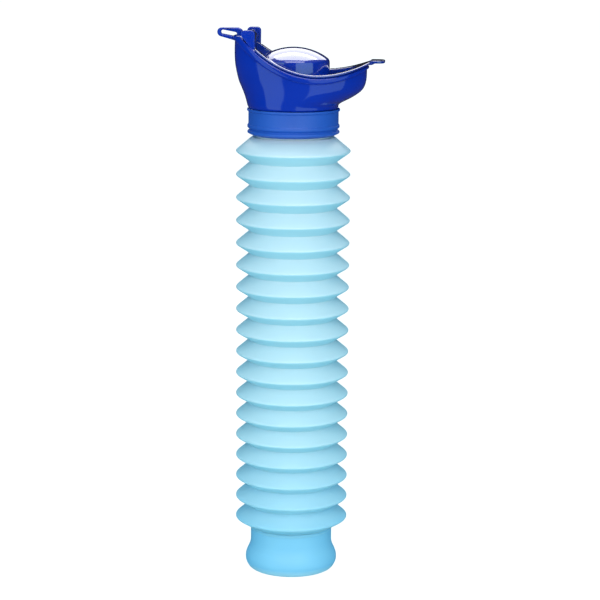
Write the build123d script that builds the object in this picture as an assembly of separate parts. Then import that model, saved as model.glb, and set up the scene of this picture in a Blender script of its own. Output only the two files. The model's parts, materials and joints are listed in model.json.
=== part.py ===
from build123d import *
import math
import os

# A collapsible hand-held urine bottle: a blow-moulded bellows bottle, and a saddle-rimmed
# funnel held on its neck by a screw collar, with a hinged lid and a domed sealing cap.
# Millimetres. +Z is up the bottle. The origin is the centre of the flat resting face. The lid's
# hinge and the hanging eye are on the -X side and the lid's finger tab is on the +X side.

# Bellows
FOLDS = 18
PITCH = 13.31               # crest to crest on average, with the bottle pulled out
SAG_TOP = 16.7              # the bottle sags: its upper folds are pulled open more than its lower ones
SAG_LOW = 5.8
UPPER_FLANK = 7.7           # height of the long flank above each crest
LOWER_FLANK = 5.5           # height of the short flank below the last crest
CREST_R = 34.6
CREST_HALF_HEIGHT = 0.8
ROOT_R = 25.8
BOTTLE_WALL = 0.8
FLANK_WALL_X = 1.15         # the same wall, measured level across a sloping flank
TOP_CREST_Z = 258.8

# Bottle base
BASE_R = 28.0
BASE_WAIST_R = 24.9
BASE_FOOT_R = 22.8
BASE_BULGE_Z = 8.0
BASE_WAIST_Z = 15.0
BASE_TOP_Z = TOP_CREST_Z - (FOLDS - 1) * PITCH - LOWER_FLANK

# Bottle neck
NECK_R = 22.6
NECK_BORE_R = 20.7
NECK_FOOT_Z = TOP_CREST_Z + UPPER_FLANK
SHOULDER_Z = 267.2
NECK_TOP_Z = 281.1

# Screw collar
COLLAR_BOTTOM_Z = 267.6
COLLAR_TOP_Z = 284.2
COLLAR_R = 26.9
COLLAR_FLANGE_R = 27.7
COLLAR_FLANGE_Z = 283.0      # underside of the top flange, which a short slope carries
COLLAR_SLOPE = 0.4
COLLAR_BEAD_R = 27.5
COLLAR_LOWER_BEAD = (269.8, 270.8)
COLLAR_NOTCH_Z = 271.9
COLLAR_NOTCH_R = 26.1
COLLAR_UPPER_BEAD = (273.1, 274.4)
COLLAR_WALL_Z = 275.1
COLLAR_FOOT_R = 24.4
COLLAR_GRIP_R = 23.0        # bore that runs on the neck
COLLAR_SEAT_Z = 277.2       # step below the funnel's stem

# Funnel
FUNNEL_WALL = 1.6
FUNNEL_LIFT = 1.0           # the inside starts this much higher, which keeps the wall even
FUNNEL_BOTTOM_Z = 284.45
FUNNEL_FLOOR_Z = FUNNEL_BOTTOM_Z + FUNNEL_LIFT
THROAT_R = 19.5
STEM_R = 24.7
STEM_BORE_R = 23.0
STEM_BOTTOM_Z = 277.5
STEM_SHELF_Z = 282.2
STEM_BEAD_R = 25.35
STEM_BEAD_Z = 279.4
BEAD_HEIGHT = 1.0
SNAP_CLEARANCE = 0.25
GASKET_GAP = 0.05
# Height, reach to the back, reach to the front, half width
FUNNEL_SECTIONS = [
    (284.45, 27.1, 26.6, 26.7),
    (287.2, 27.8, 27.4, 26.9),
    (291.4, 29.0, 35.2, 27.3),
    (295.6, 30.6, 40.8, 27.7),
    (301.2, 32.9, 43.1, 28.0),
    (312.2, 35.0, 43.4, 28.0),
    (328.2, 35.0, 43.4, 28.0),
]
BAND_R = 1.3                # how far the rim band stands out of the wall
RIM_LOW_X = 16.0            # the rim is lowest here, and rises as a parabola each way
RIM_LOW_Z = 304.3
RIM_BACK_Z = 327.2          # level back of the rim
RIM_BACK_RISE = 0.0107
RIM_FRONT_RISE = 0.0079
BAND_LOW_Z = 300.4
BAND_BACK_RISE = 0.0092
BAND_FRONT_RISE = 0.0093
BAND_BACK_Z = 324.2

# Lid hinge
PIN_X = -25.5
PIN_Z = 327.0
PIN_R = 1.25
PIN_HALF = 19.0             # the pin stops inside the ears, so it doesn't show
PIN_RUNNING_CLEARANCE = 0.05
BARREL_R = 3.2
BARREL_HALF = 17.0
BARREL_WEB = (-23.8, 323.1, 0.9)    # centre and radius of the web's foot, which stands on the lid
EAR_R = 4.15
EAR_DISCS = [                       # the ear wraps round these: x, z and radius
    (-27.2, 328.6, 2.4),
    (-23.5, 328.8, 2.2),
    (-22.1, 320.0, 0.7),
]
EAR_INNER_Y = 17.35
EAR_OUTER_Y = 20.2
BARREL_GAP = 0.4

# Hanging eye
EYE_HALF_THICKNESS = 1.5
EYE_DISCS = [(-42.9, 328.8, 2.7), (-33.8, 327.6, 4.0)]
EYE_HOLE_DISCS = [(-42.1, 329.0, 1.1), (-35.0, 327.7, 1.1)]

# Lid
LID_GAP = 0.2
LID_FLANGE = 1.4
LID_DEPTH = 7.0             # from the funnel's rim down to the underside of the dish
LID_FLOOR = 1.4
LID_WALL = 1.4
LID_OVAL = (5.0, 42.0, 29.4)        # centre x, half length, half width
DISH_OVAL = (3.6, 34.8, 24.6)
LID_BACK_X = -25.0
LID_BACK_PLATE = 1.6
TAB_HALF_WIDTH = 8.0
TAB_CORNER_R = 4.4
TAB_SIDE = [                # (x, z) corners: a foot on the lid's flange slopes up to a level plate
    (44.2, 310.8),
    (47.0, 310.8),
    (48.6, 311.7),
    (54.0, 311.7),
    (54.0, 313.3),
    (46.6, 313.3),
]
TAB_END_X = TAB_SIDE[3][0]

# Sealing cap
CAP_R = 21.3
CAP_WALL = 1.6
CAP_EDGE_Z = 313.2
CAP_APEX_Z = 320.5
CAP_BOTTOM_Z = 286.8
CAP_SHOULDER_R = 3.5
SEAL_OUTER_R = 22.0
SEAL_INNER_R = 19.9
SEAL_BOTTOM_Z = 285.45

REACH = 60.0                # further than any part reaches sideways
HIGH = 400.0                # higher than the whole bottle


def ring_solid(points):
    """Turns an outline of (radius, height) points into a solid of revolution."""
    outline = Polyline(*points, close=True)
    return revolve(Plane.XZ * make_face(outline), Axis.Z)


def tube(outer_r, inner_r, low_z, high_z):
    return ring_solid([(inner_r, low_z), (outer_r, low_z), (outer_r, high_z), (inner_r, high_z)])


def cylinder_y(x, z, radius, half_length):
    """A cylinder across the bottle, centred on y = 0."""
    disc = Plane.XZ * Pos(x, z) * Circle(radius)
    return extrude(disc, amount=half_length, both=True)


def oval_prism(oval, low_z, high_z):
    centre_x, half_length, half_width = oval
    face = Pos(centre_x, 0, low_z) * Ellipse(half_length, half_width)
    return extrude(face, amount=high_z - low_z)


def wrapped(discs):
    """The outline that wraps tightly round discs, each given as centre x, centre z and radius."""
    edges = []
    for x, z, radius in discs:
        disc = Pos(x, z) * Circle(radius)
        edges += disc.edges()
    return make_hull(edges)


def crest_z(fold):
    """Height of a fold's crest. Fold 1 is the top one."""
    share = (fold - 1) / (FOLDS - 1)
    sag = share * (1 - share) * (SAG_TOP * (1 - share) + SAG_LOW * share)
    return TOP_CREST_Z - (fold - 1) * PITCH - sag


def root_below(fold):
    """Height of the root under a fold, where its short flank meets the fold below or the base."""
    if fold == FOLDS:
        return BASE_TOP_Z
    return crest_z(fold + 1) + UPPER_FLANK


def bellows_ring(fold):
    """The stiff long flank of a fold with its crest, which nests over the fold below."""
    crest = crest_z(fold)
    return ring_solid([
        (ROOT_R, crest + UPPER_FLANK),
        (CREST_R, crest + CREST_HALF_HEIGHT),
        (CREST_R, crest - CREST_HALF_HEIGHT),
        (CREST_R - FLANK_WALL_X, crest - CREST_HALF_HEIGHT),
        (CREST_R - FLANK_WALL_X, crest),
        (ROOT_R - FLANK_WALL_X, crest + UPPER_FLANK),
    ])


def bellows_web(fold):
    """The short lower flank of a fold, which turns inside out when the bottle is pushed down."""
    top = crest_z(fold) - CREST_HALF_HEIGHT
    root = root_below(fold)
    return ring_solid([
        (CREST_R, top),
        (ROOT_R, root),
        (ROOT_R - FLANK_WALL_X, root),
        (CREST_R - FLANK_WALL_X, top),
    ])


def base_floor():
    """The flat disc that the bottle stands on."""
    return tube(BASE_FOOT_R, 0, 0, BOTTLE_WALL)


def base_heel():
    """The rounded corner between the base's floor and its wall."""
    corner = BASE_R - BASE_FOOT_R
    section = [
        CenterArc((BASE_FOOT_R, corner), corner, -90, 90),
        Line((BASE_R, corner), (BASE_R - BOTTLE_WALL, corner)),
        CenterArc((BASE_FOOT_R, corner), corner - BOTTLE_WALL, -90, 90),
        Line((BASE_FOOT_R, BOTTLE_WALL), (BASE_FOOT_R, 0)),
    ]
    return revolve(Plane.XZ * make_face(Curve() + section), Axis.Z)


def base_wall():
    """The base's bulging wall, drawn in to a waist under the last fold."""
    corner = BASE_R - BASE_FOOT_R
    return ring_solid([
        (BASE_R, corner),
        (BASE_R, BASE_BULGE_Z),
        (BASE_WAIST_R, BASE_WAIST_Z),
        (ROOT_R, BASE_TOP_Z),
        (ROOT_R - FLANK_WALL_X, BASE_TOP_Z),
        (BASE_WAIST_R - BOTTLE_WALL, BASE_WAIST_Z),
        (BASE_R - BOTTLE_WALL, BASE_BULGE_Z),
        (BASE_R - BOTTLE_WALL, corner),
    ])


def bottle_neck():
    """The shoulder above the top fold, and the stout neck that the collar runs on."""
    return ring_solid([
        (ROOT_R, NECK_FOOT_Z),
        (ROOT_R - FLANK_WALL_X, SHOULDER_Z),
        (NECK_R, SHOULDER_Z),
        (NECK_R, NECK_TOP_Z),
        (NECK_BORE_R, NECK_TOP_Z),
        (NECK_BORE_R, SHOULDER_Z - BOTTLE_WALL),
        (NECK_BORE_R + BOTTLE_WALL, NECK_FOOT_Z - BOTTLE_WALL),
        (ROOT_R - FLANK_WALL_X, NECK_FOOT_Z),
    ])


def neck_gasket():
    """A flat ring between the neck's lip and the shelf in the funnel's stem."""
    return tube(NECK_R, NECK_BORE_R, NECK_TOP_Z + GASKET_GAP, STEM_SHELF_Z)


def screw_collar():
    """The collar: a top flange, a plain grip and two beads, with a groove for the stem's bead."""
    seat_r = STEM_R + SNAP_CLEARANCE
    groove_r = STEM_BEAD_R + SNAP_CLEARANCE
    groove_low = STEM_BEAD_Z - BEAD_HEIGHT / 2 - SNAP_CLEARANCE
    groove_high = STEM_BEAD_Z + BEAD_HEIGHT / 2 + SNAP_CLEARANCE
    outside = [
        (COLLAR_FOOT_R, COLLAR_BOTTOM_Z),
        (COLLAR_BEAD_R, COLLAR_LOWER_BEAD[0]),
        (COLLAR_BEAD_R, COLLAR_LOWER_BEAD[1]),
        (COLLAR_NOTCH_R, COLLAR_NOTCH_Z),
        (COLLAR_BEAD_R, COLLAR_UPPER_BEAD[0]),
        (COLLAR_BEAD_R, COLLAR_UPPER_BEAD[1]),
        (COLLAR_R, COLLAR_WALL_Z),
        (COLLAR_R, COLLAR_FLANGE_Z - COLLAR_SLOPE),
        (COLLAR_FLANGE_R, COLLAR_FLANGE_Z),
        (COLLAR_FLANGE_R, COLLAR_TOP_Z),
    ]
    inside = [
        (seat_r, COLLAR_TOP_Z),
        (seat_r, groove_high),
        (groove_r, groove_high),
        (groove_r, groove_low),
        (seat_r, groove_low),
        (seat_r, COLLAR_SEAT_Z),
        (COLLAR_GRIP_R, COLLAR_SEAT_Z),
        (COLLAR_GRIP_R, COLLAR_BOTTOM_Z),
    ]
    return ring_solid(outside + inside)


def rim_line(low_z, back_rise, front_rise, back_z):
    """The saddle line from back to front: level, then down a parabola, then up another."""
    knee_x = RIM_LOW_X - math.sqrt((back_z - low_z) / back_rise)
    front_z = low_z + front_rise * (REACH - RIM_LOW_X) ** 2
    back = ((knee_x, back_z), ((knee_x + RIM_LOW_X) / 2, low_z), (RIM_LOW_X, low_z))
    front = ((RIM_LOW_X, low_z), ((REACH + RIM_LOW_X) / 2, low_z), (REACH, front_z))
    return [Line((-REACH, back_z), (knee_x, back_z)), Bezier(*back), Bezier(*front)]


def funnel_rim(rise):
    """The line of the funnel's rim, raised by so much."""
    return rim_line(RIM_LOW_Z + rise, RIM_BACK_RISE, RIM_FRONT_RISE, RIM_BACK_Z + rise)


def between(lower, upper):
    """Everything between two saddle lines, right across the funnel."""
    ends = [Line(lower[0] @ 0, upper[0] @ 0), Line(lower[-1] @ 1, upper[-1] @ 1)]
    face = Plane.XZ * make_face(Curve() + lower + upper + ends)
    return extrude(face, amount=REACH, both=True)


def below_rim():
    floor_z = STEM_BOTTOM_Z
    corner = [Line((-REACH, floor_z), (REACH, floor_z))]
    return between(corner, funnel_rim(0))


def funnel_loft(inset, lift):
    """The funnel's flaring body through its sections."""
    faces = []
    for z, back, front, half_width in FUNNEL_SECTIONS:
        half_length = (front + back) / 2 - inset
        face = Ellipse(half_length, half_width - inset)
        faces.append(Pos((front - back) / 2, 0, z + lift) * face)
    return loft(faces)


def rim_band():
    """The raised band under the rim, deeper at the back than at the front."""
    z, back, front, half_width = FUNNEL_SECTIONS[-1]
    oval = ((front - back) / 2, (front + back) / 2 + BAND_R, half_width + BAND_R)
    lower = rim_line(BAND_LOW_Z, BAND_BACK_RISE, BAND_FRONT_RISE, BAND_BACK_Z)
    return oval_prism(oval, STEM_BOTTOM_Z, z) & between(lower, funnel_rim(0))


def stem():
    """The stem that drops inside the collar and over the neck, with its snap bead."""
    half = BEAD_HEIGHT / 2
    return ring_solid([
        (STEM_BORE_R, STEM_BOTTOM_Z),
        (STEM_R, STEM_BOTTOM_Z),
        (STEM_R, STEM_BEAD_Z - half),
        (STEM_BEAD_R, STEM_BEAD_Z - half),
        (STEM_BEAD_R, STEM_BEAD_Z + half),
        (STEM_R, STEM_BEAD_Z + half),
        (STEM_R, FUNNEL_FLOOR_Z),
        (THROAT_R, FUNNEL_FLOOR_Z),
        (THROAT_R, STEM_SHELF_Z),
        (STEM_BORE_R, STEM_SHELF_Z),
    ])


def ears():
    """Two ears on the back of the rim, which carry the hinge pin."""
    outline = wrapped(EAR_DISCS)
    thickness = EAR_OUTER_Y - EAR_INNER_Y
    plate = extrude(Plane.XZ * outline, amount=-thickness)
    return [Pos(0, EAR_INNER_Y, 0) * plate, Pos(0, -EAR_OUTER_Y, 0) * plate]


def hanging_eye():
    """A slotted eye behind the rim, in the bottle's middle plane, to hang it by."""
    outline = wrapped(EYE_DISCS) - wrapped(EYE_HOLE_DISCS)
    return extrude(Plane.XZ * outline, amount=EYE_HALF_THICKNESS, both=True)


def funnel():
    body = (funnel_loft(0, 0) + rim_band()) & below_rim()
    body = body - funnel_loft(FUNNEL_WALL, FUNNEL_LIFT)
    body = body - tube(THROAT_R, 0, STEM_BOTTOM_Z, FUNNEL_FLOOR_Z) + stem()
    barrel_room = cylinder_y(PIN_X, PIN_Z, BARREL_R + BARREL_GAP, EAR_INNER_Y)
    body = body + hanging_eye() - barrel_room
    for ear in ears():
        body = body + ear
    return body - cylinder_y(PIN_X, PIN_Z, PIN_R, PIN_HALF)


def finger_tab():
    """The lid's finger tab, with rounded corners at its end."""
    side = Plane.XZ * make_face(Polyline(*TAB_SIDE, close=True))
    slab = extrude(side, amount=TAB_HALF_WIDTH, both=True)
    plan = Pos(TAB_END_X / 2, 0) * RectangleRounded(TAB_END_X, 2 * TAB_HALF_WIDTH, TAB_CORNER_R)
    return slab & extrude(plan, amount=HIGH)


def lid():
    """A dished lid that lies on the rim, with a hinge barrel behind and a finger tab in front."""
    under = funnel_rim(LID_GAP)
    top = funnel_rim(LID_GAP + LID_FLANGE)
    centre_x, half_length, half_width = DISH_OVAL
    hollow_oval = (centre_x, half_length - LID_WALL, half_width - LID_WALL)
    low_z = COLLAR_TOP_Z
    high_z = PIN_Z + EAR_R
    floor_top = funnel_rim(LID_FLOOR - LID_DEPTH)
    flange = oval_prism(LID_OVAL, low_z, high_z) & between(under, top)
    dish = oval_prism(DISH_OVAL, low_z, high_z) & between(funnel_rim(-LID_DEPTH), top)
    hollow = oval_prism(hollow_oval, low_z, high_z) & between(floor_top, funnel_rim(LID_DEPTH))
    plate = dish & Pos(LID_BACK_X + LID_BACK_PLATE / 2, 0, 0) * Box(LID_BACK_PLATE, 2 * REACH, 2 * HIGH)
    body = flange + dish - hollow + finger_tab() + plate
    body = body - Pos(LID_BACK_X - REACH, 0, 0) * Box(2 * REACH, 2 * REACH, 2 * HIGH)
    ear_room = Box(2 * (EAR_R + BARREL_GAP), EAR_OUTER_Y - BARREL_HALF + BARREL_GAP, 4 * EAR_R)
    ear_y = (EAR_OUTER_Y + BARREL_HALF + BARREL_GAP) / 2
    for side in (1, -1):
        body = body - Pos(PIN_X, side * ear_y, PIN_Z) * ear_room
    knuckle = wrapped([(PIN_X, PIN_Z, BARREL_R), BARREL_WEB])
    body = body + extrude(Plane.XZ * knuckle, amount=BARREL_HALF, both=True)
    cap_hole = Pos(0, 0, CAP_EDGE_Z) * Cylinder(CAP_R, REACH)       # taller than the lid
    return body - cap_hole - cylinder_y(PIN_X, PIN_Z, PIN_R + PIN_RUNNING_CLEARANCE, REACH)


def dome_outline(radius, edge_z, apex_z, bottom_z, shoulder_r):
    """Half section of a plug with a domed top and a rounded shoulder."""
    rise = apex_z - edge_z
    dome_r = (radius ** 2 + rise ** 2) / (2 * rise)
    half_angle = math.radians(90) - math.asin(radius / dome_r) / 2
    centre_z = apex_z - dome_r
    middle = (dome_r * math.cos(half_angle), centre_z + dome_r * math.sin(half_angle))
    edges = [
        ThreePointArc((0, apex_z), middle, (radius, edge_z)),
        Line((radius, edge_z), (radius, bottom_z)),
        Line((radius, bottom_z), (0, bottom_z)),
        Line((0, bottom_z), (0, apex_z)),
    ]
    section = make_face(Curve() + edges)
    shoulder = section.vertices().sort_by_distance((radius, edge_z))[0]
    return Plane.XZ * fillet(shoulder, shoulder_r)


def sealing_cap():
    """The domed cap that stands up through the lid and closes the funnel's throat."""
    outside = dome_outline(CAP_R, CAP_EDGE_Z, CAP_APEX_Z, CAP_BOTTOM_Z, CAP_SHOULDER_R)
    bore = dome_outline(CAP_R - CAP_WALL, CAP_EDGE_Z - CAP_WALL / 2, CAP_APEX_Z - CAP_WALL,
                        CAP_BOTTOM_Z - CAP_WALL, CAP_SHOULDER_R - CAP_WALL)
    return revolve(outside, Axis.Z) - revolve(bore, Axis.Z)


def hinge_pin():
    """The pin sprung into blind holes in the ears."""
    return cylinder_y(PIN_X, PIN_Z, PIN_R, PIN_HALF)


def build():
    parts = {
        "base_floor": base_floor(),
        "base_heel": base_heel(),
        "base_wall": base_wall(),
        "bottle_neck": bottle_neck(),
        "neck_gasket": neck_gasket(),
        "screw_collar": screw_collar(),
        "funnel": funnel(),
        "lid": lid(),
        "sealing_cap": sealing_cap(),
        "cap_seal": tube(SEAL_OUTER_R, SEAL_INNER_R, SEAL_BOTTOM_Z, CAP_BOTTOM_Z),
        "hinge_pin": hinge_pin(),
    }
    for fold in range(1, FOLDS + 1):
        parts[f"bellows_ring_{fold:02d}"] = bellows_ring(fold)
        parts[f"bellows_web_{fold:02d}"] = bellows_web(fold)
    return parts


os.makedirs("parts", exist_ok=True)
for node, shape in build().items():
    export_step(shape, f"parts/{node}.step")
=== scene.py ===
import bmesh
import bpy
import json
import math
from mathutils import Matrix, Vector


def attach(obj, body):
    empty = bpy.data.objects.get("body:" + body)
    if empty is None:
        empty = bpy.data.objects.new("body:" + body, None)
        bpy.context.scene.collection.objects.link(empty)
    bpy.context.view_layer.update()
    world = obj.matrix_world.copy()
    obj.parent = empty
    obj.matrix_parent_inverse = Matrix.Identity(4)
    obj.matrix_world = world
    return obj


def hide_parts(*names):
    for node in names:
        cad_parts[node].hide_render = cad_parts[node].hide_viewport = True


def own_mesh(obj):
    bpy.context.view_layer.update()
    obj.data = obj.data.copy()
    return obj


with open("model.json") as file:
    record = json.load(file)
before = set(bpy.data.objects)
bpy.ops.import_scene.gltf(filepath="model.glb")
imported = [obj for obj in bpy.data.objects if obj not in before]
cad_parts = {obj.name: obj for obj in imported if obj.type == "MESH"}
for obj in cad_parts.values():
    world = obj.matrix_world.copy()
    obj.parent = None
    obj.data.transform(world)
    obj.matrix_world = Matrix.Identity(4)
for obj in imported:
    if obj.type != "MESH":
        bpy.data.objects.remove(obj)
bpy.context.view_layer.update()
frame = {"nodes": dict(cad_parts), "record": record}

# A collapsible urine bottle. Millimetres and degrees; MM turns them into metres where they meet Blender.
MM = 0.001

# Bellows bottle
FOLDS = 18
PITCH = 13.31
SAG_TOP = 16.7              # the bottle sags: its upper folds are pulled open more than its lower ones
SAG_LOW = 5.8
UPPER_FLANK = 7.7           # height of the long flank above each crest
LOWER_FLANK = 5.5           # height of the short flank below the last crest
TOP_CREST_Z = 258.8
CREST_R = 34.9
ROOT_R = 25.8
CREST_ROUND = 1.3           # corner radii of the folds
ROOT_ROUND = 0.5
BOTTLE_WALL = 0.9
NECK_FOOT_Z = TOP_CREST_Z + UPPER_FLANK
BASE_TOP_Z = TOP_CREST_Z - (FOLDS - 1) * PITCH - LOWER_FLANK

BASE_FLOOR_TOP = 6.0        # below this height the cup's inside is set in upwards too, which makes its floor

# Base cup, as (radius, height, corner radius), from the recess in its underside up to the last fold
BASE_OUTLINE = [
    (0.0, 1.6, 0.0),
    (13.0, 1.6, 3.0),
    (15.0, 0.0, 1.5),
    (25.8, 0.0, 4.5),
    (28.1, 4.6, 7.0),
    (28.0, 8.6, 12.0),
    (24.9, 15.3, 12.0),
    (24.9, 25.0, 2.0),
    (ROOT_R, BASE_TOP_Z, 0.0),
]

# Screw collar, as (radius, height, corner radius): up the outside over two beads and a flange, then down inside
COLLAR_OUTLINE = [
    (24.6, 268.4, 0.6),
    (27.5, 269.8, 0.7),
    (27.5, 270.8, 0.6),
    (26.1, 271.9, 0.4),
    (27.5, 273.1, 0.5),
    (27.5, 274.4, 0.6),
    (26.9, 275.1, 1.0),
    (26.9, 282.5, 0.3),
    (27.7, 283.0, 0.35),
    (27.7, 284.2, 0.45),
    (24.95, 284.2, 0.3),
    (24.95, 277.2, 0.2),
    (23.0, 277.2, 0.3),
    (23.0, 268.4, 0.4),
]

# Funnel. Each section is its height, reach to the back, reach to the front and half width.
FUNNEL_SECTIONS = [
    (284.45, 27.1, 26.6, 26.7),
    (287.2, 27.8, 27.4, 26.9),
    (291.4, 29.0, 35.2, 27.3),
    (295.6, 30.6, 40.8, 27.7),
    (301.2, 32.9, 43.1, 28.0),
    (312.2, 35.0, 43.4, 28.0),
    (328.2, 35.0, 43.4, 28.0),
]
FUNNEL_WALL = 1.6
FUNNEL_LIFT = 1.0           # thickness of the funnel's floor
FUNNEL_BOTTOM_Z = 284.45
THROAT_R = 19.5
STEM_R = 24.7
STEM_BORE_R = 23.0
STEM_BOTTOM_Z = 277.5
STEM_SHELF_Z = 282.2
WALL_ROWS = 30              # rows of points up the funnel's wall

# Saddle lines of the funnel's edge: lowest height, rise to the back and to the front, height of level back
RIM = (304.3, 0.0107, 0.0079, 327.2)
BAND = (300.4, 0.0092, 0.0093, 324.2)
RIM_LOW_X = 16.0
BAND_R = 1.3                # how far the rim's band stands out
RIM_PROFILE = [             # outwards from the wall, and share of the way up from the band's foot to the rim
    (0.25, 0.02),
    (0.7, 0.07),
    (1.05, 0.16),
    (1.24, 0.28),
    (BAND_R, 0.42),
    (1.28, 0.58),
    (1.16, 0.74),
    (0.9, 0.87),
    (0.5, 0.96),
    (0.0, 1.0),
    (-0.55, 1.0),
    (-1.05, 0.97),
    (-1.4, 0.9),
    (-1.58, 0.8),
]
RIM_INSIDE_SHARE = 0.7      # where the rim's inner edge meets the inside of the wall

# Lid hinge and hanging eye. A disc is its centre's x and z and its radius; an outline wraps round its discs.
PIN_X = -25.5
PIN_Z = 327.0
BARREL_DISCS = [(PIN_X, PIN_Z, 3.2), (-23.8, 323.1, 0.9)]
BARREL_HALF = 17.0
BARREL_BEVEL = 0.4
BARREL_ROOM_R = 3.6
EAR_DISCS = [(-27.2, 328.6, 2.4), (-23.5, 328.8, 2.2), (-22.1, 320.0, 0.7)]
EAR_INNER_Y = 17.35
EAR_OUTER_Y = 20.2
EAR_BEVEL = 0.6
EYE_DISCS = [(-42.9, 328.8, 2.7), (-33.8, 327.6, 4.0)]
EYE_HOLE_DISCS = [(-42.1, 329.0, 1.1), (-35.0, 327.7, 1.1)]
EYE_HALF_THICKNESS = 1.5
EYE_BEVEL = 1.0

# Lid, with heights measured from the line of the funnel's rim
LID_UNDER = 0.2
LID_TOP = 1.6
LID_FLOOR_TOP = -5.6
LID_FLOOR_UNDER = -7.0
LID_WALL = 1.4
LID_OVAL = (5.0, 42.0, 29.4)                # centre x, half length, half width
DISH_OVAL = (3.6, 34.8, 24.6)
LID_BACK_X = -25.0
LID_BACK_INSIDE_X = -23.4
EAR_ROOM_X = -20.95
EAR_ROOM_Y = 17.0

# Finger tab
TAB_HALF_WIDTH = 8.0
TAB_CORNER_R = 4.4
TAB_END_X = 54.0
TAB_SIDE = [                                # the tab's (x, z, corner radius), from its foot on the lid
    (44.2, 310.8, 0.2),
    (47.0, 310.8, 1.5),
    (48.6, 311.7, 1.5),
    (TAB_END_X, 311.7, 0.5),
    (TAB_END_X, 313.3, 0.5),
    (46.6, 313.3, 1.5),
]

# Sealing cap
CAP_R = 21.3
CAP_WALL = 1.6
CAP_EDGE_Z = 313.2
CAP_APEX_Z = 320.5
CAP_BOTTOM_Z = 286.8
CAP_SHOULDER_R = 3.5
CAP_DOME_SHARE = 0.84       # the dome's share of the cap's radius, before the shoulder

# Fineness of the meshes
SEGMENTS = 144              # round the bottle
COLUMNS = 240               # round the funnel and the lid
CORNER_STEPS = 5
CORNER_SHARE = 0.48         # the most of a side that one rounded corner may take
OUTLINE_STEPS = 72          # round an outline that wraps discs
CRISP_ANGLE = 50            # edges of the funnel and the lid that turn further than this stay crisp


def rounded(outline, closed=True):
    """Replaces each (x, y, radius) corner of an outline with a smooth curve and returns (x, y) points."""
    points = []
    count = len(outline)
    for i, (x, y, radius) in enumerate(outline):
        here = Vector((x, y))
        last = Vector(outline[i - 1][:2])
        following = Vector(outline[(i + 1) % count][:2])
        at_end = not closed and i in (0, count - 1)
        if radius == 0 or at_end:
            points.append((x, y))
            continue
        into, out_of = last - here, following - here
        half_angle = into.angle(out_of) / 2
        reach = radius / math.tan(half_angle)
        start = here + into.normalized() * min(reach, CORNER_SHARE * into.length)
        end = here + out_of.normalized() * min(reach, CORNER_SHARE * out_of.length)
        for step in range(CORNER_STEPS + 1):
            t = step / CORNER_STEPS
            point = start * (1 - t) ** 2 + here * 2 * t * (1 - t) + end * t ** 2
            points.append((point.x, point.y))
    return points


def mesh_from_rows(name, rows, loop_rows, caps=False):
    """A mesh from rows of points that all have the same count, each row a closed loop.
    loop_rows joins the last row to the first; caps closes both ends instead."""
    count = len(rows[0])
    verts = [(x * MM, y * MM, z * MM) for row in rows for x, y, z in row]
    faces = []
    last_row = len(rows) if loop_rows else len(rows) - 1
    for r in range(last_row):
        above = (r + 1) % len(rows)
        for c in range(count):
            side = (c + 1) % count
            faces.append((r * count + c, r * count + side, above * count + side, above * count + c))
    if caps:
        faces.append(tuple(reversed(range(count))))
        faces.append(tuple((len(rows) - 1) * count + c for c in range(count)))
    mesh = bpy.data.meshes.new(name)
    mesh.from_pydata(verts, [], faces)
    mesh.validate()
    mesh.shade_smooth()
    obj = bpy.data.objects.new(name, mesh)
    bpy.context.scene.collection.objects.link(obj)
    return obj


def close_poles(obj):
    """Merges the rows that meet on the axis and turns every face outwards."""
    work = bmesh.new()
    work.from_mesh(obj.data)
    bmesh.ops.remove_doubles(work, verts=work.verts, dist=0.001 * MM)
    bmesh.ops.recalc_face_normals(work, faces=work.faces)
    work.to_mesh(obj.data)
    work.free()
    return obj


def lathe(name, outline):
    """A closed (radius, height) outline turned about the bottle's axis."""
    rows = []
    for radius, z in outline:
        row = []
        for segment in range(SEGMENTS):
            angle = 2 * math.pi * segment / SEGMENTS
            row.append((radius * math.cos(angle), radius * math.sin(angle), z))
        rows.append(row)
    return close_poles(mesh_from_rows(name, rows, loop_rows=True))


def wrapped(discs, grow=0.0):
    """Points of the outline that wraps tightly round discs, which grow by so much."""
    points = []
    for step in range(OUTLINE_STEPS):
        angle = 2 * math.pi * step / OUTLINE_STEPS
        c, s = math.cos(angle), math.sin(angle)
        x, z, radius = max(discs, key=lambda disc: disc[0] * c + disc[1] * s + disc[2])
        points.append((x + (radius + grow) * c, z + (radius + grow) * s))
    return points


def across(outline, y):
    """An (x, z) outline as a row of points at one y."""
    return [(x, y, z) for x, z in outline]


def bevelled_rows(outline_at, low_y, high_y, bevel):
    """Rows for a plate across the bottle. outline_at gives the outline drawn in by so much."""
    steps = 4
    rows = []
    for step in range(steps + 1):
        angle = math.pi / 2 * step / steps
        rows.append(across(outline_at(bevel * (1 - math.sin(angle))), low_y + bevel * (1 - math.cos(angle))))
    for step in range(steps + 1):
        angle = math.pi / 2 * step / steps
        rows.append(across(outline_at(bevel * (1 - math.cos(angle))), high_y - bevel * (1 - math.sin(angle))))
    return rows


def plate(name, outline_at, low_y, high_y, bevel):
    """A plate across the bottle with rounded edges."""
    rows = bevelled_rows(outline_at, low_y, high_y, bevel)
    return close_poles(mesh_from_rows(name, rows, loop_rows=False, caps=True))


def joined(name, pieces):
    """Makes several meshes one object."""
    bpy.ops.object.select_all(action="DESELECT")
    for piece in pieces:
        piece.select_set(True)
    bpy.context.view_layer.objects.active = pieces[0]
    bpy.ops.object.join()
    pieces[0].name = name
    pieces[0].data.name = name
    pieces[0].select_set(False)
    return pieces[0]


def sharpen(obj, degrees):
    """Keeps edges sharper than so many degrees crisp, and the rest smooth."""
    bpy.ops.object.select_all(action="DESELECT")
    bpy.context.view_layer.objects.active = obj
    obj.select_set(True)
    bpy.ops.object.shade_smooth_by_angle(angle=math.radians(degrees))
    return obj


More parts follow.
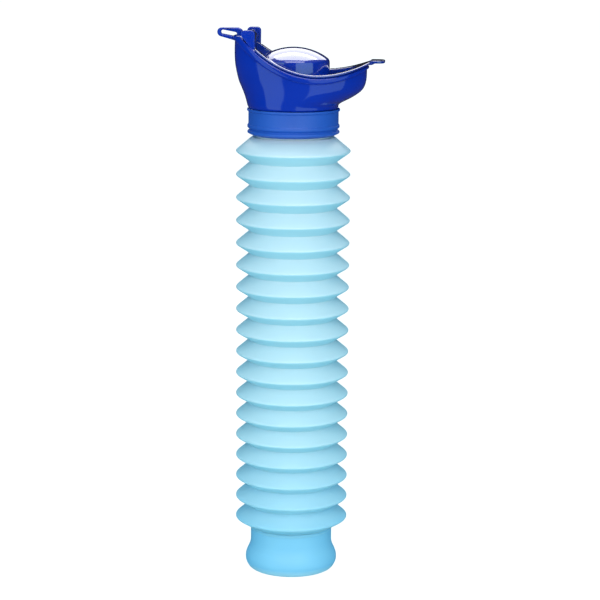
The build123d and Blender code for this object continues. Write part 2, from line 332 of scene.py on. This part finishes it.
def saddle(line, x):
    """Height of a saddle line: level at the back, lowest at RIM_LOW_X, rising again to the front."""
    low_z, back_rise, front_rise, back_z = line
    if x > RIM_LOW_X:
        return low_z + front_rise * (x - RIM_LOW_X) ** 2
    return min(back_z, low_z + back_rise * (x - RIM_LOW_X) ** 2)


def bellows():
    """The folds, from the base up to the neck, as one double-walled shell."""
    outer = [(ROOT_R, BASE_TOP_Z, 0.0)]
    for fold in range(FOLDS, 0, -1):
        share = (fold - 1) / (FOLDS - 1)
        sag = share * (1 - share) * (SAG_TOP * (1 - share) + SAG_LOW * share)
        crest_z = TOP_CREST_Z - (fold - 1) * PITCH - sag
        outer.append((CREST_R, crest_z, CREST_ROUND))
        outer.append((ROOT_R, crest_z + UPPER_FLANK, ROOT_ROUND if fold > 1 else 0.0))
    outer_points = rounded(outer, closed=False)
    inner_points = [(r - BOTTLE_WALL, z) for r, z in reversed(outer_points)]
    return lathe("bottle_bellows", outer_points + inner_points)


def base_cup():
    """The cup under the folds, with a shallow recess in its underside."""
    outer = rounded(BASE_OUTLINE, closed=False)
    inner = []
    for radius, z in reversed(outer):
        floor_rise = BOTTLE_WALL if z < BASE_FLOOR_TOP else 0.0
        inner.append((max(0.0, radius - BOTTLE_WALL), z + floor_rise))
    return lathe("bottle_foot", outer + inner)


def section_at(z):
    """The funnel's back, front and half width at a height, eased smoothly between its sections."""
    sections = FUNNEL_SECTIONS
    count = len(sections)
    z = min(max(z, sections[0][0]), sections[-1][0])
    i = max(k for k in range(count - 1) if sections[k][0] <= z)
    low, high = sections[i], sections[i + 1]
    span = high[0] - low[0]
    t = (z - low[0]) / span

    def slope(k, column):
        before, after = sections[max(k - 1, 0)], sections[min(k + 1, count - 1)]
        return (after[column] - before[column]) / (after[0] - before[0])

    values = []
    for column in (1, 2, 3):
        a, b = low[column], high[column]
        m, n = slope(i, column) * span, slope(i + 1, column) * span
        values.append(a * (1 + 2 * t) * (1 - t) ** 2 + m * t * (1 - t) ** 2
                      + b * t ** 2 * (3 - 2 * t) - n * t ** 2 * (1 - t))
    return values


def funnel_point(angle, z, out):
    """A point on the funnel's wall, moved out of it by so much."""
    back, front, half_width = section_at(z)
    half_length = (front + back) / 2 + out
    return ((front - back) / 2 + half_length * math.cos(angle), (half_width + out) * math.sin(angle), z)


def line_on_wall(angle, line, out):
    """Height at which a saddle line crosses the funnel's wall, found by going to and fro between the two."""
    rounds = 6
    z = line[0]
    for _ in range(rounds):
        z = saddle(line, funnel_point(angle, z, out)[0])
    return z


def funnel_column(angle):
    """The points of one column of the funnel, from the stem's foot up the outside and down the inside."""
    circle = (math.cos(angle), math.sin(angle))
    column = [(STEM_BORE_R * circle[0], STEM_BORE_R * circle[1], STEM_BOTTOM_Z),
              (STEM_R * circle[0], STEM_R * circle[1], STEM_BOTTOM_Z),
              (STEM_R * circle[0], STEM_R * circle[1], FUNNEL_BOTTOM_Z)]
    band_z = line_on_wall(angle, BAND, BAND_R)
    foot_out = -0.5
    for row in range(WALL_ROWS + 1):
        z = FUNNEL_BOTTOM_Z + (band_z - FUNNEL_BOTTOM_Z) * row / WALL_ROWS
        column.append(funnel_point(angle, z, foot_out if row == 0 else 0.0))
    top_z = line_on_wall(angle, RIM, 0.0)
    depth = top_z - band_z
    for out, share in RIM_PROFILE:
        column.append(funnel_point(angle, band_z + depth * share, out))
    inside_top = band_z + depth * RIM_INSIDE_SHARE
    inside_low = FUNNEL_BOTTOM_Z + FUNNEL_LIFT
    for row in range(WALL_ROWS + 1):
        z = inside_top + (inside_low - inside_top) * row / WALL_ROWS
        lift = FUNNEL_LIFT * row / WALL_ROWS
        x, y, _ = funnel_point(angle, z - lift, -FUNNEL_WALL)
        column.append((x, y, z))
    for radius, z in ((THROAT_R, inside_low), (THROAT_R, STEM_SHELF_Z), (STEM_BORE_R, STEM_SHELF_Z)):
        column.append((radius * circle[0], radius * circle[1], z))
    return [clear_of_barrel(point) for point in column]


def clear_of_barrel(point):
    """Lowers a point of the rim where the lid's barrel turns just above it."""
    x, y, z = point
    off = x - PIN_X
    if abs(y) < EAR_INNER_Y and abs(off) < BARREL_ROOM_R:
        z = min(z, PIN_Z - math.sqrt(BARREL_ROOM_R ** 2 - off ** 2))
    return (x, y, z)


def mesh_from_columns(name, column_at):
    """A shell from closed columns of points round the bottle."""
    made = [column_at(2 * math.pi * c / COLUMNS) for c in range(COLUMNS)]
    rows = [[column[r] for column in made] for r in range(len(made[0]))]
    return close_poles(mesh_from_rows(name, rows, loop_rows=True))


def funnel_ear(side):
    """One of the two ears that hold the hinge pin; side is 1 or -1."""
    low, high = sorted((side * EAR_INNER_Y, side * EAR_OUTER_Y))
    return plate("ear", lambda inset: wrapped(EAR_DISCS, -inset), low, high, EAR_BEVEL)


def hanging_eye():
    """The slotted eye behind the funnel: up its outside and down the inside of its slot."""
    half = EYE_HALF_THICKNESS
    rows = bevelled_rows(lambda inset: wrapped(EYE_DISCS, -inset), -half, half, EYE_BEVEL)
    rows += reversed(bevelled_rows(lambda inset: wrapped(EYE_HOLE_DISCS, inset), -half, half, EYE_BEVEL))
    return close_poles(mesh_from_rows("eye", rows, loop_rows=True))


def funnel_shell():
    """The funnel with its ears and its hanging eye."""
    shell = mesh_from_columns("funnel_shell", funnel_column)
    return joined("funnel_shell", [shell, funnel_ear(1), funnel_ear(-1), hanging_eye()])


def lid_point(angle, oval, rise, back_x):
    """A point of the lid on an oval, so far above the line of the funnel's rim."""
    centre_x, half_length, half_width = oval
    y = half_width * math.sin(angle)
    x = max(centre_x + half_length * math.cos(angle), back_x)
    if abs(y) > EAR_ROOM_Y:
        x = max(x, EAR_ROOM_X)
    return (x, y, saddle(RIM, x) + rise)


def grown(oval, by):
    """An oval made larger all round."""
    return (oval[0], oval[1] + by, oval[2] + by)


def lid_column(angle):
    """The points of one column of the lid, from the cap's hole out over the top and back underneath."""
    inside = grown(DISH_OVAL, -LID_WALL)
    hole = (0.0, CAP_R, CAP_R)
    back, back_inside = LID_BACK_X, LID_BACK_INSIDE_X
    column = [lid_point(angle, hole, LID_FLOOR_UNDER, back_inside),
              lid_point(angle, hole, LID_FLOOR_TOP, back_inside)]
    # the dish: its floor, the round foot of its wall, the wall, and the round edge at its top
    for by, rise in ((-1.3, LID_FLOOR_TOP), (-0.5, LID_FLOOR_TOP + 0.25), (-0.1, LID_FLOOR_TOP + 0.9)):
        column.append(lid_point(angle, grown(inside, by), rise, back_inside))
    for by, rise in ((0.0, -3.0), (0.0, 0.6), (0.15, LID_TOP - 0.4), (0.5, LID_TOP - 0.08), (1.0, LID_TOP)):
        column.append(lid_point(angle, grown(inside, by), rise, back_inside - by))
    # the flange: its top, its round edge and its underside
    for by, rise in ((-1.0, LID_TOP), (-0.6, LID_TOP - 0.08), (-0.25, LID_TOP - 0.32),
                     (-0.05, LID_TOP - 0.65), (0.0, 0.65), (-0.05, 0.42), (-0.25, LID_UNDER + 0.07),
                     (-0.6, LID_UNDER)):
        column.append(lid_point(angle, grown(LID_OVAL, by), rise, back))
    # the outside of the dish
    for by, rise in ((0.6, LID_UNDER), (0.1, LID_UNDER - 0.2), (0.0, -1.0), (0.0, -5.5), (-0.3, -6.7),
                     (-1.2, LID_FLOOR_UNDER)):
        column.append(lid_point(angle, grown(DISH_OVAL, by), rise, back))
    return column


def hinge_barrel():
    """The barrel at the lid's back, with the web that joins it to the lid."""
    half = BARREL_HALF
    return plate("barrel", lambda inset: wrapped(BARREL_DISCS, -inset), -half, half, BARREL_BEVEL)


def finger_tab():
    """The tab: a level plate with a rounded end, on a short slope that rises from the lid's edge."""
    middle_z = (TAB_SIDE[3][1] + TAB_SIDE[4][1]) / 2
    side = rounded(TAB_SIDE)
    # Rows across half of the rounded end: the angle round its corner and the share of the thickness
    half_steps = [(0, 1.0), (25, 1.0), (45, 1.0), (65, 1.0), (78, 0.85), (90, 0.5)]
    steps = [(-angle, share) for angle, share in reversed(half_steps)] + half_steps
    rows = []
    for place_in_row, (angle, share) in enumerate(steps):
        sign = -1 if place_in_row < len(half_steps) else 1
        turn = math.radians(abs(angle))
        y = sign * (TAB_HALF_WIDTH - TAB_CORNER_R + TAB_CORNER_R * math.sin(turn))
        end_x = TAB_END_X - TAB_CORNER_R * (1 - math.cos(turn))
        root_x = TAB_SIDE[0][0]
        stretch = (end_x - root_x) / (TAB_END_X - root_x)
        row = [(root_x + (x - root_x) * stretch, y, middle_z + (z - middle_z) * share) for x, z in side]
        rows.append(row)
    return close_poles(mesh_from_rows("tab", rows, loop_rows=False, caps=True))


def lid_shell():
    """The dished lid with its hinge barrel and its finger tab."""
    shell = mesh_from_columns("lid_shell", lid_column)
    return joined("lid_shell", [shell, hinge_barrel(), finger_tab()])


def cap_dome():
    """The domed sealing cap, hollow underneath."""
    rise = CAP_APEX_Z - CAP_EDGE_Z
    dome_r = (CAP_R ** 2 + rise ** 2) / (2 * rise)
    centre_z = CAP_APEX_Z - dome_r
    steps = 16
    outer = []
    inner = []
    for step in range(steps + 1):
        radius = CAP_DOME_SHARE * CAP_R * step / steps
        z = centre_z + math.sqrt(dome_r ** 2 - radius ** 2)
        outer.append((radius, z, 0.0))
        inner.append((radius * (CAP_R - CAP_WALL) / CAP_R, z - CAP_WALL, 0.0))
    outer += [(CAP_R, CAP_EDGE_Z, CAP_SHOULDER_R), (CAP_R, CAP_BOTTOM_Z, 0.3)]
    inner += [(CAP_R - CAP_WALL, CAP_EDGE_Z - CAP_WALL, 0.5), (CAP_R - CAP_WALL, CAP_BOTTOM_Z, 0.2)]
    return lathe("cap_dome", rounded(outer + inner[::-1], closed=False))


def collar():
    """The screw collar."""
    return lathe("collar", rounded(COLLAR_OUTLINE))


# Materials. Colours are linear; pairs and lists are the stops of colour ramps.

FUNNEL_BLUES = ((0.0008, 0.024, 0.32, 1), (0.0012, 0.029, 0.37, 1))
LID_BLUES = ((0.0010, 0.022, 0.25, 1), (0.0015, 0.027, 0.29, 1))
CAP_BLUES = ((0.001, 0.025, 0.35, 1), (0.0015, 0.030, 0.39, 1))
COLLAR_BLUES = ((0.008, 0.078, 0.44, 1), (0.011, 0.092, 0.49, 1))
SILICONE_GREYS = ((0.62, 0.68, 0.71, 1), (0.70, 0.75, 0.77, 1))
FLOOR_GREYS = ((0.20, 0.20, 0.20, 1), (0.22, 0.22, 0.22, 1))
BOTTLE_BLUES = [            # from the base, at 0, up to the neck, at 1
    (0.0, (0.31, 0.74, 0.97, 1)),
    (0.09, (0.33, 0.76, 0.97, 1)),
    (0.14, (0.48, 0.83, 0.97, 1)),
    (0.32, (0.64, 0.89, 0.97, 1)),
    (0.6, (0.70, 0.90, 0.97, 1)),
    (1.0, (0.74, 0.90, 0.97, 1)),
]
UNDERSIDE_SHADE_BLUE = (0.60, 0.90, 0.97, 1)          # painted shade: a bluer colour on the undersides of the folds, standing in for the light that reaches them through the plastic
UNDERSIDE_START = -0.2      # how far down a face looks where the painted underside shade begins, and where it is full
UNDERSIDE_FULL = -0.6
THROUGH_SHARE = 0.3         # share of the light that passes through the bottle's wall
LOW_STOP = 0.3              # noise keeps to the middle of its range, so its ramps do too
HIGH_STOP = 0.7
POLYPROPYLENE_IOR = 1.49
LID_COAT_IOR = 1.9          # the lid and the cap shine like lacquer


def new_material(name):
    material = bpy.data.materials.new(name)
    material.use_nodes = True
    nodes = material.node_tree.nodes
    return material, nodes, material.node_tree.links, nodes["Principled BSDF"]


def ramp(nodes, stops):
    """A colour ramp from (position, colour) stops."""
    node = nodes.new("ShaderNodeValToRGB")
    elements = node.color_ramp.elements
    elements[0].position, elements[0].color = stops[0]
    elements[1].position, elements[1].color = stops[-1]
    for position, colour in stops[1:-1]:
        elements.new(position).color = colour
    return node


def noise_ramp(nodes, links, source, pair):
    """Drifts between a pair of colours as a noise does."""
    node = ramp(nodes, [(LOW_STOP, pair[0]), (HIGH_STOP, pair[1])])
    links.new(source, node.inputs["Fac"])
    return node.outputs["Color"]


def noise(nodes, links, scale, detail):
    """Noise fixed to the object, so that it moves with it."""
    coordinates = nodes.new("ShaderNodeTexCoord")
    node = nodes.new("ShaderNodeTexNoise")
    node.inputs["Scale"].default_value = scale
    node.inputs["Detail"].default_value = detail
    links.new(coordinates.outputs["Object"], node.inputs["Vector"])
    return node


def remap(nodes, links, source, low, high):
    """Spreads a value from 0 to 1 over a range."""
    node = nodes.new("ShaderNodeMapRange")
    node.inputs["To Min"].default_value = low
    node.inputs["To Max"].default_value = high
    links.new(source, node.inputs["Value"])
    return node.outputs["Result"]


def bump(nodes, links, height, strength, distance):
    node = nodes.new("ShaderNodeBump")
    node.inputs["Strength"].default_value = strength
    node.inputs["Distance"].default_value = distance
    links.new(height, node.inputs["Height"])
    return node.outputs["Normal"]


def glossy_blue(name, pair):
    """High gloss polypropylene: faint flow in the colour, and a very fine mould texture."""
    material, nodes, links, shader = new_material(name)
    flow = noise(nodes, links, scale=24.0, detail=2.0).outputs["Fac"]
    links.new(noise_ramp(nodes, links, flow, pair), shader.inputs["Base Color"])
    grain = noise(nodes, links, scale=900.0, detail=3.0).outputs["Fac"]
    links.new(remap(nodes, links, grain, low=0.08, high=0.14), shader.inputs["Roughness"])
    links.new(bump(nodes, links, grain, strength=0.02, distance=0.0001), shader.inputs["Normal"])
    shader.inputs["Coat Weight"].default_value = 0.4
    shader.inputs["Coat Roughness"].default_value = 0.06
    shader.inputs["IOR"].default_value = POLYPROPYLENE_IOR
    return material


def matt_blue():
    """The collar: finely textured, softly shining plastic."""
    material, nodes, links, shader = new_material("collar_plastic")
    patches = noise(nodes, links, scale=40.0, detail=3.0).outputs["Fac"]
    links.new(noise_ramp(nodes, links, patches, COLLAR_BLUES), shader.inputs["Base Color"])
    grain = noise(nodes, links, scale=1400.0, detail=4.0).outputs["Fac"]
    links.new(remap(nodes, links, grain, low=0.38, high=0.52), shader.inputs["Roughness"])
    links.new(bump(nodes, links, grain, strength=0.25, distance=0.0002), shader.inputs["Normal"])
    return material


def soft_polyethylene():
    """The bottle: milky, light passes through it, and it grows bluer towards the base; the undersides of its
    folds get a bluer painted shade.
    """
    material, nodes, links, shader = new_material("bottle_polyethylene")
    coordinates = nodes.new("ShaderNodeTexCoord")
    height = nodes.new("ShaderNodeSeparateXYZ")
    links.new(coordinates.outputs["Object"], height.inputs["Vector"])
    share = nodes.new("ShaderNodeMapRange")
    share.inputs["From Max"].default_value = NECK_FOOT_Z * MM
    links.new(height.outputs["Z"], share.inputs["Value"])
    colours = ramp(nodes, BOTTLE_BLUES)
    links.new(share.outputs["Result"], colours.inputs["Fac"])
    # painted shade: faces that look down take the bluer underside colour, by the z of their normal
    facing = nodes.new("ShaderNodeSeparateXYZ")
    links.new(coordinates.outputs["Normal"], facing.inputs["Vector"])
    underside = nodes.new("ShaderNodeMapRange")
    underside.inputs["From Min"].default_value = UNDERSIDE_START
    underside.inputs["From Max"].default_value = UNDERSIDE_FULL
    links.new(facing.outputs["Z"], underside.inputs["Value"])
    # mixes the painted underside shade into the bottle's colour
    wall = nodes.new("ShaderNodeMix")
    wall.data_type = "RGBA"
    wall.inputs["B"].default_value = UNDERSIDE_SHADE_BLUE
    links.new(underside.outputs["Result"], wall.inputs["Factor"])
    links.new(colours.outputs["Color"], wall.inputs["A"])
    links.new(wall.outputs["Result"], shader.inputs["Base Color"])
    cloud = noise(nodes, links, scale=160.0, detail=3.0).outputs["Fac"]
    links.new(remap(nodes, links, cloud, low=0.30, high=0.42), shader.inputs["Roughness"])
    links.new(bump(nodes, links, cloud, strength=0.12, distance=0.0006), shader.inputs["Normal"])
    through = nodes.new("ShaderNodeBsdfTranslucent")
    links.new(wall.outputs["Result"], through.inputs["Color"])
    mix = nodes.new("ShaderNodeMixShader")
    mix.inputs["Fac"].default_value = THROUGH_SHARE
    links.new(shader.outputs["BSDF"], mix.inputs[1])
    links.new(through.outputs["BSDF"], mix.inputs[2])
    links.new(mix.outputs["Shader"], nodes["Material Output"].inputs["Surface"])
    return material


def silicone():
    """The gasket and the cap's seal: cloudy grey."""
    material, nodes, links, shader = new_material("silicone")
    cloud = noise(nodes, links, scale=300.0, detail=2.0).outputs["Fac"]
    links.new(noise_ramp(nodes, links, cloud, SILICONE_GREYS), shader.inputs["Base Color"])
    links.new(remap(nodes, links, cloud, low=0.45, high=0.6), shader.inputs["Roughness"])
    return material


def floor_white():
    """A white floor that glows, as in a light tent, and takes only a trace of shadow."""
    material, nodes, links, shader = new_material("floor_white")
    cloud = noise(nodes, links, scale=3.0, detail=2.0).outputs["Fac"]
    links.new(noise_ramp(nodes, links, cloud, FLOOR_GREYS), shader.inputs["Base Color"])
    shader.inputs["Roughness"].default_value = 0.8
    shader.inputs["Specular IOR Level"].default_value = 0.0
    shader.inputs["Emission Color"].default_value = (1, 1, 1, 1)
    shader.inputs["Emission Strength"].default_value = FLOOR_GLOW
    return material


# Assembly

def place(obj, body, slot, material, *nodes):
    """Gives a piece its material and its body, and hides the CAD nodes that it stands for."""
    obj.data.materials.clear()
    obj.data.materials.append(material)
    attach(obj, body)
    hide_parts(*nodes)
    return obj


bottle_material = soft_polyethylene()
funnel_material = glossy_blue("funnel_gloss", FUNNEL_BLUES)
lid_material = glossy_blue("lid_gloss", LID_BLUES)
cap_material = glossy_blue("cap_gloss", CAP_BLUES)
for material in (lid_material, cap_material):
    shader = material.node_tree.nodes["Principled BSDF"]
    shader.inputs["Coat Weight"].default_value = 1.0
    shader.inputs["Coat IOR"].default_value = LID_COAT_IOR
silicone_material = silicone()

fold_nodes = [f"bellows_{kind}_{fold:02d}" for fold in range(1, FOLDS + 1) for kind in ("ring", "web")]
bottle_bellows = place(bellows(), "base", "bottle", bottle_material, *fold_nodes)
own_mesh(bottle_bellows)
place(base_cup(), "base", "bottle", bottle_material, *frame["record"]["behaviour"]["bodies"]["base"])
place(collar(), "collar", "collar", matt_blue(), "screw_collar")
place(sharpen(funnel_shell(), CRISP_ANGLE), "funnel", "funnel", funnel_material, "funnel")
place(sharpen(lid_shell(), CRISP_ANGLE), "lid", "lid", lid_material, "lid")
place(cap_dome(), "lid", "cap", cap_material, "sealing_cap")

for node, material in (("bottle_neck", bottle_material), ("hinge_pin", funnel_material),
                       ("neck_gasket", silicone_material), ("cap_seal", silicone_material)):
    frame["nodes"][node].data.materials.clear()
    frame["nodes"][node].data.materials.append(material)


# Stage, light and camera, in metres

FLOOR_SIDE = 20
FLOOR_GLOW = 0.97
BACKDROP_GLOW = 1.1
COOL = (0.62, 1.0, 0.95)
WARM = (1.0, 0.79, 0.67)
HEAD = (0, 0, 0.315)        # middle of the funnel and the lid

# Shades of the room from straight down, at 0, past the horizon, at 0.5, to straight up, at 1
ROOM_SHADES = [
    (0.0, (0.10, 0.10, 0.10, 1)),
    (0.4, (0.05, 0.05, 0.05, 1)),
    (0.5, (0.02, 0.02, 0.02, 1)),
    (0.7, (0.03, 0.03, 0.03, 1)),
    (1.0, (0.40, 0.40, 0.40, 1)),
]
TENT_SHADE = (0.29, 0.66, 0.81, 1)          # pale blue light from all round, as matt surfaces see it


def studio_floor():
    """The floor that the bottle stands on. It doesn't show in gloss, light matt surfaces or cast a shadow."""
    bpy.ops.mesh.primitive_plane_add(size=1, location=(0, 0, 0))
    obj = bpy.context.object
    obj.name = "floor"
    obj.scale = (FLOOR_SIDE, FLOOR_SIDE, 1)
    obj.data.materials.append(floor_white())
    obj.visible_glossy = False
    obj.visible_diffuse = False
    obj.visible_shadow = False


def area_light(name, location, target, width, height, watts, colour=(1, 1, 1)):
    """A softbox that faces its target and that the camera doesn't see."""
    data = bpy.data.lights.new(name, "AREA")
    data.shape = "RECTANGLE"
    data.size = width
    data.size_y = height
    data.energy = watts
    data.color = colour
    obj = bpy.data.objects.new(name, data)
    obj.location = location
    obj.rotation_euler = (Vector(target) - Vector(location)).to_track_quat("-Z", "Y").to_euler()
    obj.visible_camera = False
    bpy.context.scene.collection.objects.link(obj)
    return obj


studio_floor()

# Softboxes that only show in glossy surfaces
for light in (
    area_light("overhead", (0.0, 0.38, 1.25), HEAD, 0.9, 0.7, 8),
    area_light("back_panel", (0.0, 1.0, 1.16), HEAD, 1.5, 0.85, 10),
    area_light("front_top", (0.1, -0.62, 1.15), HEAD, 1.0, 0.6, 4),
    area_light("left_softbox", (-0.72, -0.72, 0.3), HEAD, 0.69, 1.3, 2.3, COOL),
    area_light("right_softbox", (0.70, -0.86, 0.3), HEAD, 1.2, 1.3, 3.8, COOL),
):
    light.visible_diffuse = False

# Soft light on everything, without reflections
for light in (
    area_light("front_fill", (0.1, -1.0, 0.60), (0, 0, 0.10), 1.6, 0.7, 11, WARM),
    area_light("low_fill", (0.0, -0.9, 0.06), (0, 0, 0.05), 3.4, 0.3, 2.5),
    area_light("top_fill", (0.0, 0.1, 1.25), HEAD, 1.0, 1.0, 2),
    area_light("back_fill", (0.0, 0.9, 0.30), (0, 0, 0.15), 1.6, 0.6, 2),
):
    light.visible_glossy = False


def studio_world():
    """A white room for the camera, a light tent for matt surfaces, and a dim room with a bright ceiling
    for glossy ones."""
    world = bpy.data.worlds.new("white_studio")
    world.use_nodes = True
    nodes, links = world.node_tree.nodes, world.node_tree.links
    backdrop = nodes["Background"]
    room = nodes.new("ShaderNodeBackground")
    tent = nodes.new("ShaderNodeBackground")
    tent.inputs["Color"].default_value = TENT_SHADE
    coordinates = nodes.new("ShaderNodeTexCoord")
    direction = nodes.new("ShaderNodeSeparateXYZ")
    links.new(coordinates.outputs["Generated"], direction.inputs["Vector"])
    height = nodes.new("ShaderNodeMapRange")
    height.inputs["From Min"].default_value = -1.0
    links.new(direction.outputs["Z"], height.inputs["Value"])
    shades = ramp(nodes, ROOM_SHADES)
    links.new(height.outputs["Result"], shades.inputs["Fac"])
    links.new(shades.outputs["Color"], room.inputs["Color"])
    seen = nodes.new("ShaderNodeLightPath")
    around = nodes.new("ShaderNodeMixShader")
    links.new(seen.outputs["Is Diffuse Ray"], around.inputs["Fac"])
    links.new(room.outputs["Background"], around.inputs[1])
    links.new(tent.outputs["Background"], around.inputs[2])
    mix = nodes.new("ShaderNodeMixShader")
    links.new(seen.outputs["Is Camera Ray"], mix.inputs["Fac"])
    links.new(around.outputs["Shader"], mix.inputs[1])
    links.new(backdrop.outputs["Background"], mix.inputs[2])
    links.new(mix.outputs["Shader"], nodes["World Output"].inputs["Surface"])
    backdrop.inputs["Color"].default_value = (1, 1, 1, 1)
    backdrop.inputs["Strength"].default_value = BACKDROP_GLOW
    return world


bpy.context.scene.world = studio_world()
bpy.context.scene.view_settings.view_transform = "Standard"

CAMERA_DISTANCE = 1.18      # from the bottle's axis
CAMERA_HEIGHT = 0.4002
CAMERA_AZIMUTH = math.radians(4.5)
CAMERA_TILT = math.radians(11.14)
CAMERA_ROLL = math.radians(-0.38)
CAMERA_TURN = math.radians(0.148)           # how far it looks to one side of the bottle's axis
CAMERA_LENS_MM = 119
CAMERA_SENSOR_MM = 36


def studio_camera():
    """A long lens a little above the head, looking slightly down."""
    data = bpy.data.cameras.new("camera")
    data.lens = CAMERA_LENS_MM
    data.sensor_width = CAMERA_SENSOR_MM
    obj = bpy.data.objects.new("camera", data)
    sideways = CAMERA_DISTANCE * math.sin(CAMERA_AZIMUTH)
    back = CAMERA_DISTANCE * math.cos(CAMERA_AZIMUTH)
    obj.location = (sideways, -back, CAMERA_HEIGHT)
    obj.rotation_mode = "XYZ"
    obj.rotation_euler = (math.pi / 2 - CAMERA_TILT, CAMERA_ROLL, CAMERA_AZIMUTH - CAMERA_TURN)
    bpy.context.scene.collection.objects.link(obj)
    return obj


bpy.context.scene.camera = studio_camera()
